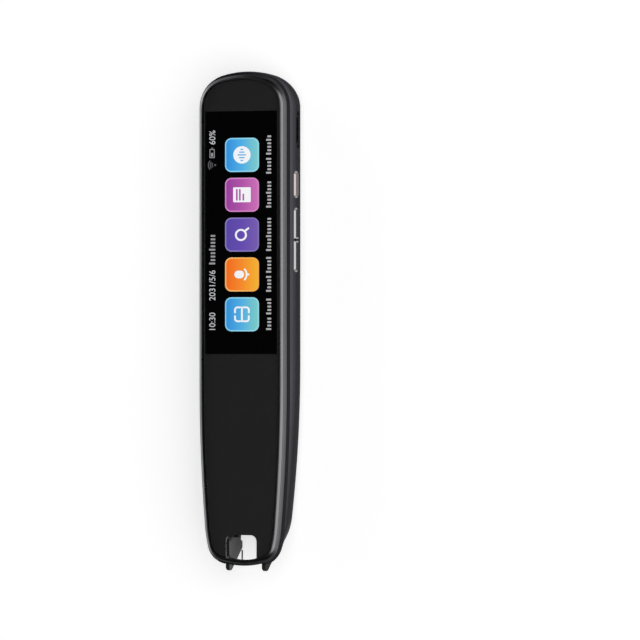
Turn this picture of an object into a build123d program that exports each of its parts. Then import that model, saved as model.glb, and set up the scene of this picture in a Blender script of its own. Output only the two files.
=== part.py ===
from build123d import *
from math import acos, asin, cos, degrees, radians, sin, sqrt
import os

os.makedirs("parts", exist_ok=True)

# A scanning pen, in millimetres. It lies on its back: the screen faces +Z, the scanning nose
# points to -Y and the keys are on the +X side. Depths are measured down from the front glass.

# Whole body
body_length = 146.4
body_width = 31.0
body_thickness = 15.0
wall = 1.4

# Plan outline: tangent arcs, each with its radius and the angle where it ends
top_corner_radius = 10.0
top_corner_end_angle = 74.6
nose_side_radius = 460.0
nose_side_end_angle = 5.25
nose_hip_radius = 35.8
nose_hip_end_angle = 14.9
nose_corner_radius = 6.6
nose_corner_end_angle = 74.7

# The same nose where the side walls meet the back, blunter and further from the tip
back_side_radius = 380.0
back_side_end_angle = 6.95
back_hip_radius = 15.5
back_hip_end_angle = 45.7
back_corner_radius = 4.6
back_corner_end_angle = 79.5
back_nose_setback = 4.0

# Cross-section
front_round_inset = 2.4
widest_depth = 4.2
split_depth = 2.76
wall_curve_radius = 16.0
wall_curve_drop = 7.0
crease_depth = 11.6
back_radius = 30.0
nose_lift_radius = 441.0
nose_lift_length = 51.4

# Front stack
glass_thickness = 0.7
mask_thickness = 0.1
adhesive_thickness = 0.1
glass_gap = 0.08
ledge_width = 0.45
bezel_height = 1.5
bezel_width = 1.2
groove_width = 0.06
flange_thickness = 0.5
seam_recess = 0.3

# Display
view_top = 11.8
view_length = 71.6
view_side_margin = 3.45
display_side_border = 0.4
display_top_border = 2.2
display_foot_border = 2.6
display_air_gap = 0.15
display_thickness = 0.9
backlight_thickness = 0.75
backlight_rim = 0.2
bond_thickness = 0.1

# Inner plate and its tabs
plate_thickness = 0.6
plate_gap = 0.35
tab_length = 5.0
tab_thickness = 0.8
tab_height = 1.2
tab_gap = 0.12

# Scan opening and its bar at the nose
opening_width = 10.16
opening_top = 9.6
opening_bar = 2.3
opening_corner_radius = 1.9
pointer_width = 0.3
pointer_length = 2.9

# Rear pocket with the slanted scan window
pocket_width = 12.26
pocket_top = 21.6
pocket_corner_radius = 0.7
pocket_gap = 0.09
pocket_wall = 0.64
slant_top = 20.6
slant_foot = 12.5
slant_foot_depth = 5.2
slant_angle = 45.0
floor_thickness = 1.6
shelf_depth = 4.3
window_width = 9.3
window_length = 9.0
window_thickness = 0.8
window_gap = 0.05
aperture_border = 0.35
light_guide_thickness = 0.7
light_slot_height = 0.7
light_slot_inner = 1.55
light_slot_outer = 3.9
light_slot_from_foot = 3.6
led_width = 1.9
led_height = 1.4
led_thickness = 0.8
light_board_thickness = 0.6
lens_view_width = 3.0

# Scan fork: two feet, their arms and the cross bar
foot_inner = 5.5
foot_thickness = 1.35
foot_tip_radius = 1.15
foot_reach = 1.0
foot_back_depth = 10.5
foot_heel = 5.3
foot_root = 8.7
foot_root_round = 2.4
foot_edge_round = 0.3
fork_travel = 0.8
slide_gap = 0.08
arm_inner = 6.25
arm_thickness = 1.6
arm_depth = 3.0
arm_top = 32.4
cross_bar = 1.9
slot_gap = 0.1
cheek_wall = 0.8

# Keys on the right side
key_width = 2.5
key_depth = 6.05
key_reach = 0.4
key_gap = 0.08
key_travel = 0.35
key_chamfer = 0.45
key_flange = 0.4
key_flange_thickness = 0.4
key_seat_gap = 0.45
power_key_top = 29.5
power_key_length = 8.0
volume_top = 40.3
volume_length = 19.0
volume_split = 0.6
switch_thickness = 1.05
switch_length = 3.4
switch_height = 2.6
plunger_radius = 0.6
plunger_gap = 0.04
plunger_seat = 0.3
flex_thickness = 0.15
bracket_thickness = 0.3
bracket_overhang = 1.6

# Charging port
port_middle = 17.4
port_depth = 8.2
port_hole_length = 11.2
port_hole_width = 3.6
port_length = 7.3
port_width = 8.94
port_height = 3.26
port_wall = 0.3
port_mouth_setback = 0.9
tongue_width = 6.7
tongue_thickness = 0.7
tongue_setback = 0.7
tongue_base = 1.1

# Main board
board_top = 7.6
board_end = 63.5
board_thickness = 1.0
board_left_gap = 1.9
board_right_gap = 0.6
boss_radius = 1.5
screw_radius = 0.58
screw_gap = 0.04
screw_head_radius = 1.2
screw_head_height = 0.7
screw_bite = 2.0
boss_inset = 1.7
boss_first = 26.5
boss_last = 60.0

# Parts on the boards
processor_size = 11.0
processor_height = 0.9
can_size = 14.0
can_wall = 0.2
can_clearance = 0.3
can_middle = 46.0
memory_length = 11.5
memory_width = 9.0
charger_size = 4.0
chip_height = 1.0
microphone_length = 3.5
microphone_width = 2.65

# Battery
battery_side_gap = 5.0
battery_thickness = 6.8
battery_round = 1.4
battery_gap = 1.6
tape_thickness = 0.2
tape_margin = 2.5
plug_length = 3.5
plug_width = 6.0
plug_height = 1.4
plug_side_gap = 3.2
lead_width = 3.6
lead_thickness = 0.5

# Speaker
speaker_middle = 16.3
speaker_radius = 7.0
speaker_height = 2.6
speaker_wall = 0.6
speaker_floor = 0.5
speaker_seat_depth = 12.7
magnet_radius = 3.4
magnet_height = 1.2
cone_thickness = 0.12
cone_dome_radius = 2.6
cone_rise = 0.3
gasket_width = 0.7
mesh_thickness = 0.1
mesh_radius = 6.2
speaker_ring_wall = 0.8
speaker_ring_gap = 0.1
speaker_ring_rise = 1.6
grille_hole = 0.85
grille_first_radius = 3.2
grille_pitch = 1.25
grille_spokes = 8
grille_rows = 3

# Camera behind the window
holder_foot = 22.7
holder_length = 5.9
holder_height = 7.7
holder_lug_width = 1.3
holder_ear = 0.8
camera_depth = 7.6
barrel_radius = 2.75
barrel_bore = 1.8
barrel_length = 5.6
barrel_gap = 0.03
lens_thickness = 1.2
sensor_size = 3.4
sensor_thickness = 0.6
camera_board_thickness = 0.8
camera_board_width = 9.4

# Board that carries the fork switch
scan_board_foot = 33.3
scan_board_length = 9.0
scan_board_side_gap = 5.0
scan_board_thickness = 0.8
fork_switch_width = 4.4
fork_switch_length = 3.4
fork_switch_height = 1.8
fork_plunger_radius = 0.5
fork_plunger_length = 2.0
fork_stop_gap = 0.3

# Flat cables and antenna
display_flex_width = 8.0
display_flex_slot = 0.6
display_flex_landing = 3.0
camera_flex_width = 4.5
camera_flex_gap = 0.6
antenna_length = 30.0
antenna_top = 26.0
antenna_drop = 4.0
antenna_thickness = 0.15
antenna_gap = 0.1
film_gap = 0.02

# How far tools reach past what they cut, and shares of a size or a run
overrun = 1.0
form_level_shares = [0.0, 0.16, 0.37, 0.6, 0.82, 1.0]
bezel_arc_share = 0.35
frame_arc_share = 0.4
plate_nose_share = 0.16
left_tab_shares = (0.17, 0.38, 0.59, 0.76)
right_tab_shares = (0.11, 0.36, 0.6)

# Places worked out from the sizes above
half_width = body_width / 2
view_width = body_width - 2 * view_side_margin
battery_width = body_width - 2 * battery_side_gap
scan_board_width = body_width - 2 * scan_board_side_gap
y_top = (body_length + foot_reach) / 2
y_nose = y_top - body_length
z_front = body_thickness
plan_crown = 90.0


def from_top(distance):
    return y_top - distance


def from_nose(distance):
    return y_nose + distance


def at_depth(depth):
    return z_front - depth


# Front stack levels, as depths under the glass
mask_level = glass_thickness
adhesive_level = mask_level + mask_thickness
ledge_level = adhesive_level + adhesive_thickness
seam_level = bezel_height + flange_thickness
display_level = adhesive_level + display_air_gap
backlight_level = display_level + display_thickness
display_foot_level = backlight_level + backlight_thickness
plate_level = display_foot_level + bond_thickness
plate_back = plate_level + plate_thickness
board_level = port_depth - port_height / 2 - board_thickness
board_back = board_level + board_thickness
battery_level = plate_back + tape_thickness
battery_back = battery_level + battery_thickness
ledge_inset = front_round_inset + ledge_width


# Plan outline

def arc_point(start, radius, begin, angle):
    """The point at this angle on an arc that leaves start, where the side is at angle 0."""
    x = start[0] - radius * (cos(radians(begin)) - cos(radians(angle)))
    run = start[1] + radius * (sin(radians(angle)) - sin(radians(begin)))
    return (x, run)


def corner_chain(half, arcs):
    """Tangent arcs from the straight side round to the centre line, and their whole run."""
    start, begin, pieces = (half, 0.0), 0.0, []
    for radius, end in arcs:
        middle = arc_point(start, radius, begin, (begin + end) / 2)
        finish = arc_point(start, radius, begin, end)
        pieces.append((start, middle, finish))
        start, begin = finish, end
    crown = start[0] / cos(radians(begin))
    middle = arc_point(start, crown, begin, (begin + plan_crown) / 2)
    finish = (0.0, arc_point(start, crown, begin, plan_crown)[1])
    pieces.append((start, middle, finish))
    return pieces, finish[1]


def half_outline(z, half, top_y, nose_y, top_arcs, nose_arcs, side=1):
    """Edges of one half of the outline, from the top centre round to the nose centre."""
    top, top_run = corner_chain(half, top_arcs)
    nose, nose_run = corner_chain(half, nose_arcs)

    def top_point(p):
        return (side * p[0], top_y - top_run + p[1], z)

    def nose_point(p):
        return (side * p[0], nose_y + nose_run - p[1], z)

    edges = [
        ThreePointArc(top_point(c), top_point(b), top_point(a)) for a, b, c in reversed(top)
    ]
    edges.append(Line(top_point(top[0][0]), nose_point(nose[0][0])))
    edges += [
        ThreePointArc(nose_point(a), nose_point(b), nose_point(c)) for a, b, c in nose
    ]
    return edges


def outline_sizes(inset):
    """Sizes of the widest outline, drawn in by the inset all round."""
    top_arcs = [(top_corner_radius - inset, top_corner_end_angle)]
    nose_arcs = [
        (nose_side_radius - inset, nose_side_end_angle),
        (nose_hip_radius - inset, nose_hip_end_angle),
        (nose_corner_radius - inset, nose_corner_end_angle),
    ]
    return half_width - inset, y_top - inset, y_nose + inset, top_arcs, nose_arcs


def outline_face(inset, depth):
    sizes = outline_sizes(inset)
    z = at_depth(depth)
    right = half_outline(z, *sizes, side=1)
    left = half_outline(z, *sizes, side=-1)
    return make_face(right + left)


def plate_of(inset, top_depth, foot_depth):
    """A flat plate with the pen's outline between two depths."""
    return extrude(outline_face(inset, foot_depth), amount=foot_depth - top_depth, dir=(0, 0, 1))


def ring_of(profile):
    """A ring that follows the outline. The profile is drawn as (inset, depth)."""
    path = Wire(half_outline(z_front, *outline_sizes(0.0)))
    start = Plane(origin=(0, y_top, z_front), x_dir=(0, -1, 0), z_dir=(1, 0, 0))
    right = sweep(start * profile, path=path)
    return right + mirror(right, about=Plane.YZ)


# Simple solids

def block(x0, x1, y0, y1, z0, z1):
    size = Box(x1 - x0, y1 - y0, z1 - z0)
    return Pos((x0 + x1) / 2, (y0 + y1) / 2, (z0 + z1) / 2) * size


def deep_block(half_x, foot, top, level, back):
    """A block across the middle, by distances from the nose and depths."""
    return block(-half_x, half_x, from_nose(foot), from_nose(top), at_depth(back), at_depth(level))


def side_plate(points, x0, x1):
    """A plate between two X planes. Its points are (distance from nose, depth)."""
    corners = [(from_nose(u), at_depth(d)) for u, d in points]
    face = make_face(Polyline(*corners, close=True))
    return extrude(Plane.YZ.offset(x0) * face, amount=x1 - x0)


def z_cylinder(x, y, radius, top_depth, foot_depth):
    middle = at_depth((top_depth + foot_depth) / 2)
    return Pos(x, y, middle) * Cylinder(radius, foot_depth - top_depth)


def y_cylinder(x, y0, y1, z, radius):
    return Pos(x, (y0 + y1) / 2, z) * Rot(90, 0, 0) * Cylinder(radius, y1 - y0)


def x_cylinder(x0, x1, y, z, radius):
    return Pos((x0 + x1) / 2, y, z) * Rot(0, 90, 0) * Cylinder(radius, x1 - x0)


def x_slot(x0, x1, y, z, length, width):
    """A round-ended bar along X, with its long side along Y."""
    face = Plane.YZ.offset(x0) * Pos(y, z) * SlotOverall(length, width)
    return extrude(face, amount=x1 - x0)


def both_sides(piece):
    return piece + mirror(piece, about=Plane.YZ)


# Body form

def front_inset(depth):
    """How far the rounded front edge is drawn in, as an ellipse."""
    share = (widest_depth - depth) / widest_depth
    return front_round_inset * (1 - sqrt(1 - share * share))


def wall_inset(depth):
    """How far the side wall is drawn in: rounded in front, curved, then straight to the back."""
    if depth < widest_depth:
        return front_inset(depth)
    drop = min(depth - widest_depth, wall_curve_drop)
    curve = wall_curve_radius - sqrt(wall_curve_radius**2 - drop**2)
    slope = wall_curve_drop / sqrt(wall_curve_radius**2 - wall_curve_drop**2)
    return curve + slope * max(depth - widest_depth - wall_curve_drop, 0.0)


def blend(front, back, share):
    return front + (back - front) * share


def form_section(depth, inset, z_depth):
    """The rear shell's outline at a depth, drawn in by the inset."""
    share = (depth - split_depth) / (crease_depth - split_depth)
    lean = wall_inset(depth)
    front = front_inset(split_depth) * (1 - share)
    top_arcs = [(top_corner_radius - lean - inset, top_corner_end_angle)]
    nose_arcs = [
        (
            blend(nose_side_radius, back_side_radius, share) - front - inset,
            blend(nose_side_end_angle, back_side_end_angle, share),
        ),
        (
            blend(nose_hip_radius, back_hip_radius, share) - front - inset,
            blend(nose_hip_end_angle, back_hip_end_angle, share),
        ),
        (
            blend(nose_corner_radius, back_corner_radius, share) - front - inset,
            blend(nose_corner_end_angle, back_corner_end_angle, share),
        ),
    ]
    half = half_width - lean - inset
    top_y = y_top - lean - inset
    nose_y = y_nose + front + back_nose_setback * share + inset
    z = at_depth(z_depth)
    right = half_outline(z, half, top_y, nose_y, top_arcs, nose_arcs, side=1)
    left = half_outline(z, half, top_y, nose_y, top_arcs, nose_arcs, side=-1)
    return make_face(right + left)


def side_form(inset, raised=0.0):
    """All inside the side walls, from the split down past the back, drawn in by the inset."""
    depths = [blend(split_depth, body_thickness + overrun, s * s) for s in form_level_shares]
    sections = [form_section(d, inset, d) for d in depths]
    form = loft(sections)
    if raised:
        lid = form_section(split_depth, inset, split_depth)
        form += extrude(lid, amount=raised, dir=(0, 0, 1))
    return form


def back_form(inset):
    """All above the curved back: straight along the body, then lifted towards the nose."""
    radius = back_radius - inset
    reach = half_width + overrun
    axis_z = back_radius
    low = axis_z - sqrt(radius**2 - reach**2)
    lid = z_front + 2 * overrun
    lift_y = from_nose(nose_lift_length)
    arc = ThreePointArc((-reach, low), (0, inset), (reach, low))
    rest = Polyline((reach, low), (reach, lid), (-reach, lid), (-reach, low))
    section = make_face([arc, rest])
    plane = Plane(origin=(0, lift_y, 0), x_dir=(1, 0, 0), z_dir=(0, -1, 0))
    face = plane * section
    straight = extrude(face, amount=-(y_top - lift_y + overrun))
    turn = degrees(asin((nose_lift_length + overrun) / (nose_lift_radius - lid)))
    hinge = Axis((0, lift_y, nose_lift_radius), (-1, 0, 0))
    return straight + revolve(face, axis=hinge, revolution_arc=turn)


def body_form(inset, raised=0.0):
    return side_form(inset, raised) & back_form(inset)


# Front stack

def notch(half, level, foot_level):
    """The scan opening between two depths: straight sides and rounded upper corners."""
    low, high = from_nose(-overrun), from_nose(opening_top)
    z0, z1 = at_depth(foot_level + overrun), at_depth(level - overrun)
    return arched_prism(half, low, high, opening_corner_radius, z0, z1)


def notch_inside_bar(half, level, foot_level):
    """The scan opening, stopped by the bar that closes it at the nose."""
    inner = plate_of(opening_bar, level - 2 * overrun, foot_level + 2 * overrun)
    return notch(half, level, foot_level) & inner


def opening_half():
    return opening_width / 2


def view_block(level, foot_level):
    """The viewing area of the screen, as a block between two depths."""
    return block(
        -view_width / 2,
        view_width / 2,
        from_top(view_top + view_length),
        from_top(view_top),
        at_depth(foot_level),
        at_depth(level),
    )


def make_cover_glass():
    glass = plate_of(front_round_inset + glass_gap, 0.0, glass_thickness)
    return glass - notch(opening_half(), 0.0, glass_thickness)


def make_glass_mask():
    mask = plate_of(front_round_inset + glass_gap, mask_level, adhesive_level)
    mask -= notch(opening_half(), mask_level, adhesive_level)
    return mask - view_block(mask_level - overrun, adhesive_level + overrun)


def make_glass_adhesive():
    outer = plate_of(front_round_inset + glass_gap, adhesive_level, ledge_level)
    inner = plate_of(ledge_inset, adhesive_level - overrun, ledge_level + overrun)
    return outer - inner - notch(opening_half(), adhesive_level, ledge_level)


def make_glass_bezel():
    """The polished ring round the glass, with the ledge that carries it and the pointer."""
    crown_depth = widest_depth * (1 - sqrt(1 - (1 - bezel_width / front_round_inset) ** 2))
    middle = crown_depth * bezel_arc_share
    band = ThreePointArc(
        (front_round_inset, 0.0), (front_inset(middle), middle), (bezel_width, crown_depth)
    )
    rest = Polyline(
        (bezel_width, crown_depth),
        (bezel_width, bezel_height),
        (ledge_inset, bezel_height),
        (ledge_inset, ledge_level),
        (front_round_inset, ledge_level),
        (front_round_inset, 0.0),
    )
    ring = ring_of(make_face([band, rest]))
    ring -= notch_inside_bar(opening_half(), 0.0, bezel_height)
    pointer = block(
        -pointer_width / 2,
        pointer_width / 2,
        from_nose(opening_bar - ledge_width),
        from_nose(opening_bar + pointer_length),
        at_depth(ledge_level + pointer_width),
        at_depth(ledge_level),
    )
    return ring + pointer


def make_side_frame():
    """The outer metal band under the bezel, with the flange that the bezel stands on."""
    outer = bezel_width - groove_width
    groove_depth = widest_depth * (1 - sqrt(1 - (1 - outer / front_round_inset) ** 2))
    middle = blend(groove_depth, bezel_height, frame_arc_share)
    band = ThreePointArc(
        (outer, groove_depth),
        (front_inset(middle), middle),
        (front_inset(bezel_height), bezel_height),
    )
    recess = front_inset(bezel_height) + seam_recess
    rest = Polyline(
        (front_inset(bezel_height), bezel_height),
        (recess, bezel_height),
        (recess, seam_level),
        (ledge_inset, seam_level),
        (ledge_inset, bezel_height),
        (outer, bezel_height),
        (outer, groove_depth),
    )
    ring = ring_of(make_face([band, rest]))
    return ring - notch_inside_bar(opening_half(), 0.0, seam_level)


def tab_places():
    """Snap tabs, as the side and the distance from the top. The right ones start below the keys."""
    left = [(-1, share * body_length) for share in left_tab_shares]
    keys_end = volume_top + volume_length
    right = [(1, blend(keys_end, body_length, share)) for share in right_tab_shares]
    return left + right


def side_draw(distance):
    """How far the outline's long side arc is drawn in at a distance from the top."""
    start = body_length - corner_chain(half_width, outline_sizes(0.0)[4])[1]
    beyond = max(distance - start, 0.0)
    return nose_side_radius - sqrt(nose_side_radius**2 - beyond**2)


def make_tabs():
    tabs = []
    deepest = max(wall_inset(split_depth), wall_inset(plate_back + tab_height))
    for side, middle in tab_places():
        outer = half_width - deepest - wall - tab_gap - side_draw(middle + tab_length)
        tab = block(
            outer - tab_thickness,
            outer,
            from_top(middle + tab_length / 2),
            from_top(middle - tab_length / 2),
            at_depth(plate_back + tab_height),
            at_depth(plate_level),
        )
        tabs.append(tab if side > 0 else mirror(tab, about=Plane.YZ))
    return tabs


def board_edges():
    """The main board's left and right edges."""
    left = -(half_width - wall - board_left_gap)
    right = bracket_inner() - board_right_gap
    return left, right


def boss_places():
    left, right = board_edges()
    rows = (boss_first, boss_last)
    return [(x, from_top(s)) for x in (left + boss_inset, right - boss_inset) for s in rows]


def guide_ribs():
    """Ribs outside the fork's arms, which keep it straight."""
    inner = arm_inner + arm_thickness + slide_gap
    rib = block(
        inner,
        inner + cheek_wall,
        from_nose(pocket_top - 2 * cheek_wall),
        from_nose(holder_foot + holder_length),
        at_depth(plate_back + arm_depth),
        at_depth(plate_back),
    )
    return both_sides(rib)


def make_mid_frame():
    """The black inner frame: it shows as the dark seam and carries everything inside."""
    recess = front_inset(bezel_height) + seam_recess
    rim = plate_of(recess, seam_level, split_depth)
    rim -= plate_of(ledge_inset, seam_level - overrun, split_depth + overrun)
    plate = plate_of(wall + plate_gap, plate_level, split_depth)
    plate += plate_of(wall + back_nose_setback * plate_nose_share, split_depth, plate_back)
    foot_pocket = block(
        opening_half(),
        foot_inner + foot_thickness + slot_gap,
        from_nose(0),
        from_nose(foot_root + fork_travel + slot_gap),
        at_depth(plate_back + overrun),
        at_depth(plate_level - overrun),
    )
    frame = rim + (plate - both_sides(foot_pocket))
    frame -= notch_inside_bar(opening_half(), seam_level, plate_back)
    for tab in make_tabs():
        frame += tab
    for x, y in boss_places():
        frame += z_cylinder(x, y, boss_radius, plate_back - plate_thickness / 2, board_level)
        hole = screw_radius + screw_gap
        frame -= z_cylinder(x, y, hole, board_level - screw_bite, board_level + overrun)
    frame += guide_ribs()
    return frame - flex_slot_tool()


# Display

def display_block(level, foot_level, rim=0.0):
    half = view_width / 2 + display_side_border - rim
    return block(
        -half,
        half,
        from_top(view_top + view_length + display_foot_border - rim),
        from_top(view_top - display_top_border + rim),
        at_depth(foot_level),
        at_depth(level),
    )


def make_display_panel():
    return display_block(display_level, backlight_level)


def make_backlight_unit():
    """A shallow metal tray filled by its light guide, a little smaller than the panel."""
    tray = display_block(backlight_level, display_foot_level, backlight_rim)
    edges = tray.edges().filter_by(Axis.Z)
    return fillet(edges, radius=backlight_rim)


def flex_run():
    """Start and end of the display cable's run behind the display, from the top."""
    end = view_top + view_length + display_foot_border + flex_thickness
    return board_end - display_flex_landing, end


def flex_slot_tool():
    """Trench and slot in the plate for the display's flat cable."""
    start, end = flex_run()
    half = display_flex_width / 2 + display_flex_slot / 2
    trench = block(
        -half,
        half,
        from_top(end + display_flex_slot),
        from_top(start),
        at_depth(plate_level + 2 * flex_thickness),
        at_depth(plate_level - overrun),
    )
    slot = block(
        -half,
        half,
        from_top(start + display_flex_slot),
        from_top(start - display_flex_slot),
        at_depth(plate_back + overrun),
        at_depth(plate_level - overrun),
    )
    return trench + slot


def make_display_flex():
    start, end = flex_run()
    half = display_flex_width / 2
    run_level = plate_level + flex_thickness / 2

    def strip(s0, s1, level, back):
        return block(-half, half, from_top(s1), from_top(s0), at_depth(back), at_depth(level))

    run = strip(start, end, run_level, run_level + flex_thickness)
    drop = strip(start, start + flex_thickness, run_level, board_level)
    rise = strip(end - flex_thickness, end, display_level + flex_thickness, run_level)
    return run + drop + rise


# Rear shell

def key_slot_tools():
    """Holes for the power key and the pair of volume keys."""
    x0, x1 = half_width - 3 * wall, half_width + overrun
    width = key_width + 2 * key_gap
    spans = ((power_key_top, power_key_length), (volume_top, volume_length))
    return [
        x_slot(x0, x1, from_top(top + length / 2), at_depth(key_depth), length + 2 * key_gap, width)
        for top, length in spans
    ]


def grille_places():
    """Eight spokes of holes, with shorter spokes halfway between them."""
    step = 360 / grille_spokes
    places = []
    for spoke in range(grille_spokes):
        for row in range(grille_rows):
            places.append((grille_first_radius + row * grille_pitch, spoke * step))
        for row in range(grille_rows - 1):
            radius = grille_first_radius + (row + 1 / 2) * grille_pitch
            places.append((radius, (spoke + 1 / 2) * step))
    return places


def grille_tool():
    holes = []
    for radius, angle in grille_places():
        x = radius * cos(radians(angle))
        y = from_top(speaker_middle) + radius * sin(radians(angle))
        level = body_thickness - 3 * wall
        holes.append(z_cylinder(x, y, grille_hole / 2, level, body_thickness + overrun))
    return holes


def speaker_ring():
    """Upright ring inside the shell, which centres the speaker."""
    inner = speaker_radius + speaker_ring_gap
    level = speaker_seat_depth - speaker_ring_rise
    y = from_top(speaker_middle)
    ring = z_cylinder(0, y, inner + speaker_ring_wall, level, body_thickness)
    ring -= z_cylinder(0, y, inner, level - overrun, body_thickness + overrun)
    return ring & body_form(wall / 2)


def arched_prism(half, low, high, corner, z0, z1):
    """An upright prism across the middle, with two rounded corners at its upper end."""
    plan = make_face(Polyline((-half, low), (half, low), (half, high), (-half, high), close=True))
    plan = fillet(plan.vertices().sort_by(Axis.Y)[-2:], radius=corner)
    return extrude(Pos(0, 0, z0) * plan, amount=z1 - z0)


def pocket_prism(gap, foot, z1):
    """The scan window pocket seen in plan, drawn in by a gap."""
    high = from_nose(pocket_top - gap)
    half, corner = pocket_width / 2 - gap, pocket_corner_radius - gap
    return arched_prism(half, from_nose(foot), high, corner, -overrun, z1)


def foot_slot_tool():
    """Opening at the nose between the cheeks, with a rounded slot for each foot."""
    half = foot_inner + foot_thickness + slot_gap
    low, high = from_nose(-overrun), from_nose(opening_top + slot_gap)
    z1 = at_depth(split_depth) + overrun
    return arched_prism(half, low, high, foot_thickness / 2, -overrun, z1)


def cheek_walls():
    """Walls beside the feet, which close the two cheeks of the nose."""
    inner = foot_inner + foot_thickness + slot_gap
    top = foot_root - arm_thickness - fork_travel / 2
    wall_block = block(
        inner, inner + cheek_wall, from_nose(0), from_nose(top), 0, at_depth(plate_back + slide_gap)
    )
    return both_sides(wall_block) & body_form(wall / 2)


def make_rear_shell():
    shell = body_form(0.0) - body_form(wall, raised=overrun)
    shell += speaker_ring()
    shell -= foot_slot_tool()
    shell += cheek_walls()
    shell -= pocket_prism(0.0, opening_top, body_thickness / 2)
    for tool in key_slot_tools():
        shell -= tool
    for tool in grille_tool():
        shell -= tool
    port_x = half_width - 3 * wall
    y, z = from_top(port_middle), at_depth(port_depth)
    shell -= x_slot(port_x, half_width + overrun, y, z, port_hole_length, port_hole_width)
    return shell


# Keys

def flange_outer():
    """The X of the key flanges' outer face, clear of the leaning shell wall."""
    return half_width - wall - key_seat_gap


def flange_inner():
    return flange_outer() - key_flange_thickness


def switch_face():
    return flange_inner() - key_travel - plunger_seat / 2


def switch_back():
    return switch_face() - switch_thickness


def bracket_inner():
    return switch_back() - flex_thickness - bracket_thickness


def key_cap(top, length, rounded_top, rounded_foot):
    """A key from its flange to its outer face; a squared end meets the other volume key."""
    y, z = from_top(top + length / 2), at_depth(key_depth)
    x1 = half_width + key_reach
    cap = x_slot(flange_outer(), x1, y, z, length, key_width)
    radius = key_width / 2
    if not rounded_top:
        cap += block(flange_outer(), x1, y, y + length / 2, z - radius, z + radius)
    if not rounded_foot:
        cap += block(flange_outer(), x1, y - length / 2, y, z - radius, z + radius)
    rim = cap.faces().sort_by(Axis.X)[-1].edges()
    cap = chamfer(rim, length=key_chamfer)
    y1 = y + length / 2 + (key_flange if rounded_top else 0.0)
    y0 = y - length / 2 - (key_flange if rounded_foot else 0.0)
    reach = radius + key_flange
    return cap + block(flange_inner(), flange_outer(), y0, y1, z - reach, z + reach)


def volume_key_length():
    return (volume_length - volume_split) / 2


def key_middles():
    """Distances from the top to the middle of each key."""
    half = volume_key_length() / 2
    return (
        power_key_top + power_key_length / 2,
        volume_top + half,
        volume_top + volume_length - half,
    )


def make_power_key():
    return key_cap(power_key_top, power_key_length, True, True)


def make_volume_up_key():
    return key_cap(volume_top, volume_key_length(), True, False)


def make_volume_down_key():
    top = volume_top + volume_length - volume_key_length()
    return key_cap(top, volume_key_length(), False, True)


def make_switch_plunger(middle):
    """The small button of a key's switch, which moves in with its key."""
    x0 = switch_face() - plunger_seat
    return x_cylinder(x0, flange_inner(), from_top(middle), at_depth(key_depth), plunger_radius)


def make_key_switches():
    bodies = []
    for middle in key_middles():
        y, z = from_top(middle), at_depth(key_depth)
        body = block(
            switch_back(),
            switch_face(),
            y - switch_length / 2,
            y + switch_length / 2,
            z - switch_height / 2,
            z + switch_height / 2,
        )
        floor = switch_face() - plunger_seat - key_travel - plunger_gap
        bore = x_cylinder(floor, switch_face() + overrun, y, z, plunger_radius + plunger_gap)
        bodies.append(body - bore)
    return Compound(children=bodies)


def key_strip(x0, x1, level, back, margin):
    """A strip behind all the key switches."""
    return block(
        x0,
        x1,
        from_top(key_middles()[2] + switch_length / 2 + margin),
        from_top(key_middles()[0] - switch_length / 2 - margin),
        at_depth(back),
        at_depth(level),
    )


def make_key_flex():
    reach = switch_height / 2
    return key_strip(
        switch_back() - flex_thickness, switch_back(), key_depth - reach, key_depth + reach, 0.0
    )


def make_key_bracket():
    """Sheet-metal angle that hangs from the inner plate and backs the key switches."""
    x0, x1 = bracket_inner(), bracket_inner() + bracket_thickness
    upright = key_strip(x0, x1, plate_back, key_depth + switch_height / 2, bracket_thickness)
    foot_x = x0 - bracket_overhang / 2
    foot_plate = key_strip(foot_x, x1, plate_back, plate_back + bracket_thickness, bracket_thickness)
    bracket = upright + foot_plate
    for x, y in boss_places():
        bracket -= z_cylinder(x, y, boss_radius + slide_gap, plate_back - overrun, board_level)
    return bracket


# Charging port

def port_mouth():
    return half_width - port_mouth_setback - wall_inset(port_depth)


def make_usb_port():
    y, z = from_top(port_middle), at_depth(port_depth)
    x1 = port_mouth()
    x0 = x1 - port_length
    outer = x_slot(x0, x1, y, z, port_width, port_height)
    inner = x_slot(
        x0 - overrun, x1 + overrun, y, z, port_width - 2 * port_wall, port_height - 2 * port_wall
    )
    return outer - inner


def make_usb_tongue():
    """Plastic insert of the port: a block at its back and the contact tongue."""
    y, z = from_top(port_middle), at_depth(port_depth)
    x1 = port_mouth()
    x0 = x1 - port_length
    base = x_slot(
        x0, x0 + tongue_base, y, z, port_width - 2 * port_wall, port_height - 2 * port_wall
    )
    tongue = block(
        x0,
        x1 - tongue_setback,
        y - tongue_width / 2,
        y + tongue_width / 2,
        z - tongue_thickness / 2,
        z + tongue_thickness / 2,
    )
    return base + tongue


# Main board

def make_main_board():
    left, right = board_edges()
    board = block(
        left, right, from_top(board_end), from_top(board_top), at_depth(board_back), at_depth(board_level)
    )
    board = fillet(board.edges().filter_by(Axis.Z), radius=boss_inset)
    for x, y in boss_places():
        hole = screw_radius + 2 * screw_gap
        board -= z_cylinder(x, y, hole, board_level - overrun, board_back + overrun)
    return board


def make_board_screws():
    screws = []
    for x, y in boss_places():
        shank = z_cylinder(x, y, screw_radius, board_level - screw_bite + screw_gap, board_back)
        head = z_cylinder(x, y, screw_head_radius, board_back, board_back + screw_head_height)
        screws.append(shank + head)
    return Compound(children=screws)


def make_shield_can():
    """Open box of thin sheet over the processor, on the front of the board."""
    y = from_top(can_middle)
    half = can_size / 2
    height = processor_height + can_clearance + can_wall
    can = block(
        -half, half, y - half, y + half, at_depth(board_level), at_depth(board_level - height)
    )
    inner = half - can_wall
    return can - block(
        -inner,
        inner,
        y - inner,
        y + inner,
        at_depth(board_level + overrun),
        at_depth(board_level - height + can_wall),
    )


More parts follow.
